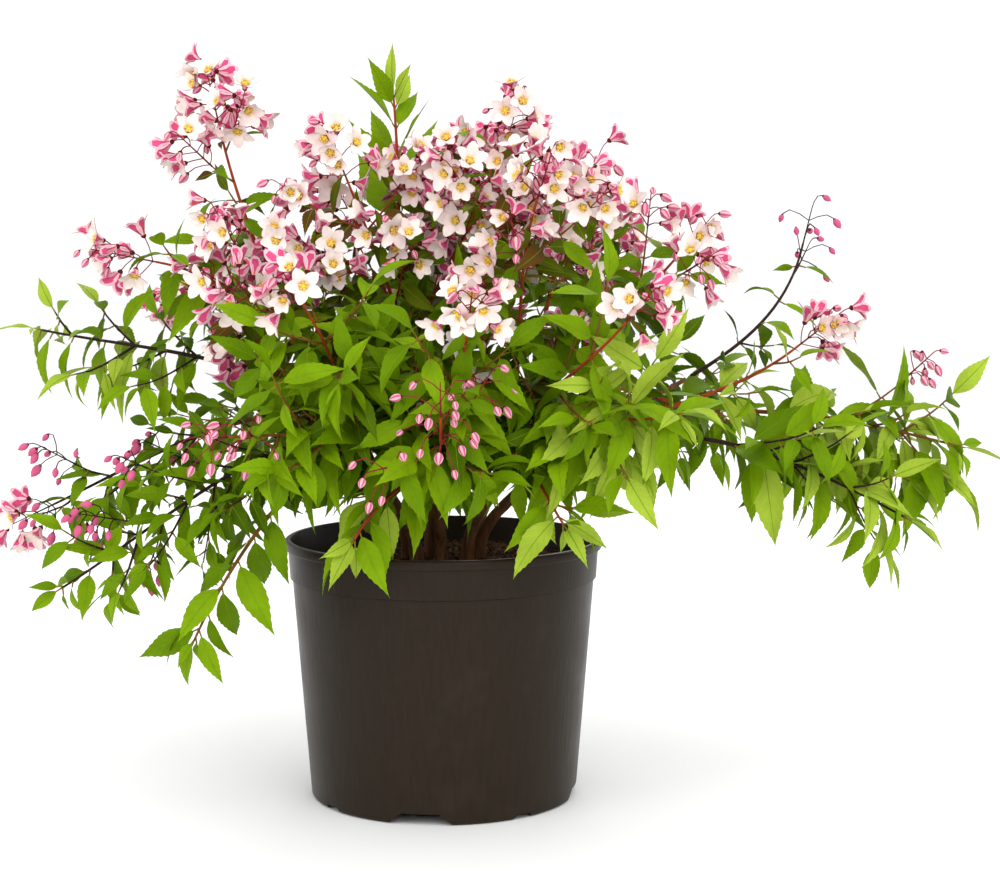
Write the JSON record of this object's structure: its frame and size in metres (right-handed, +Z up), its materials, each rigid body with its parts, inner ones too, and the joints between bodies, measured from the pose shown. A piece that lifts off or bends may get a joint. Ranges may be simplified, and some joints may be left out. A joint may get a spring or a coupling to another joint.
{
  "type": "potted deutzia",
  "caption": "Potted deutzia in flower: round plastic nursery pot, dark potting soil, a clump of thin stems and boughs with arching leafy and flowering shoots.",
  "frame": {"origin": "middle of the pot's flat underside, on the surface that it stands on", "axes": "+Z up, the way the plant grows; +X to the right and -Y towards the viewer, as seen from the side with the long arching shoots to left and right"},
  "size_m": [0.6312, 0.4479, 0.4686],
  "materials": {
    "pot": "satin black-brown",
    "soil": "rough, crumbly",
    "bark": "matte, finely ridged",
    "leaves": "soft sheen",
    "flowers": "pale pink petals over green leaves",
    "buds": "rose buds over green leaves"
  },
  "bodies": {
    "root": {"bough_back_left_high": "bark", "bough_back_left_low": "bark", "bough_back_low": "bark", "bough_back_right_high": "bark", "bough_back_right_low": "bark", "bough_back_top": "bark", "bough_left_arm": "bark", "bough_left_droop": "bark", "bough_left_high": "bark", "bough_left_low": "bark", "bough_left_tall": "bark", "bough_right_arm": "bark", "bough_right_flower": "bark", "bough_right_low": "bark", "bough_right_tall": "bark", "bough_right_top": "bark", "bough_top_leafy": "bark", "bough_top_right": "bark", "mass_back_high": "flowers", "mass_back_left_high": "flowers", "mass_back_left_low": "leaves", "mass_back_low": "leaves", "mass_back_right_high": "flowers", "mass_back_right_low": "leaves", "mass_back_top": "flowers", "mass_front_high": "flowers", "mass_front_left": "leaves", "mass_front_mid": "buds", "mass_front_right": "leaves", "mass_left_arm": "leaves", "mass_left_bank": "buds", "mass_left_droop": "leaves", "mass_left_fan": "leaves", "mass_left_high": "flowers", "mass_left_inner": "flowers", "mass_left_low": "flowers", "mass_left_mid": "flowers", "mass_left_tall": "flowers", "mass_right_arm": "leaves", "mass_right_bank": "leaves", "mass_right_flower": "flowers", "mass_right_inner": "flowers", "mass_right_low": "leaves", "mass_right_mid": "flowers", "mass_right_tall": "buds", "mass_right_top": "flowers", "mass_top_leafy": "leaves", "mass_top_left": "flowers", "mass_top_mid": "flowers", "mass_top_right": "flowers", "pot": "pot", "soil": "soil", "stem_back": "bark", "stem_front": "bark", "stem_left": "bark", "stem_left_front": "bark", "stem_middle": "bark", "stem_right": "bark", "stem_right_back": "bark", "stem_right_front": "bark"}
  },
  "joints": []
}
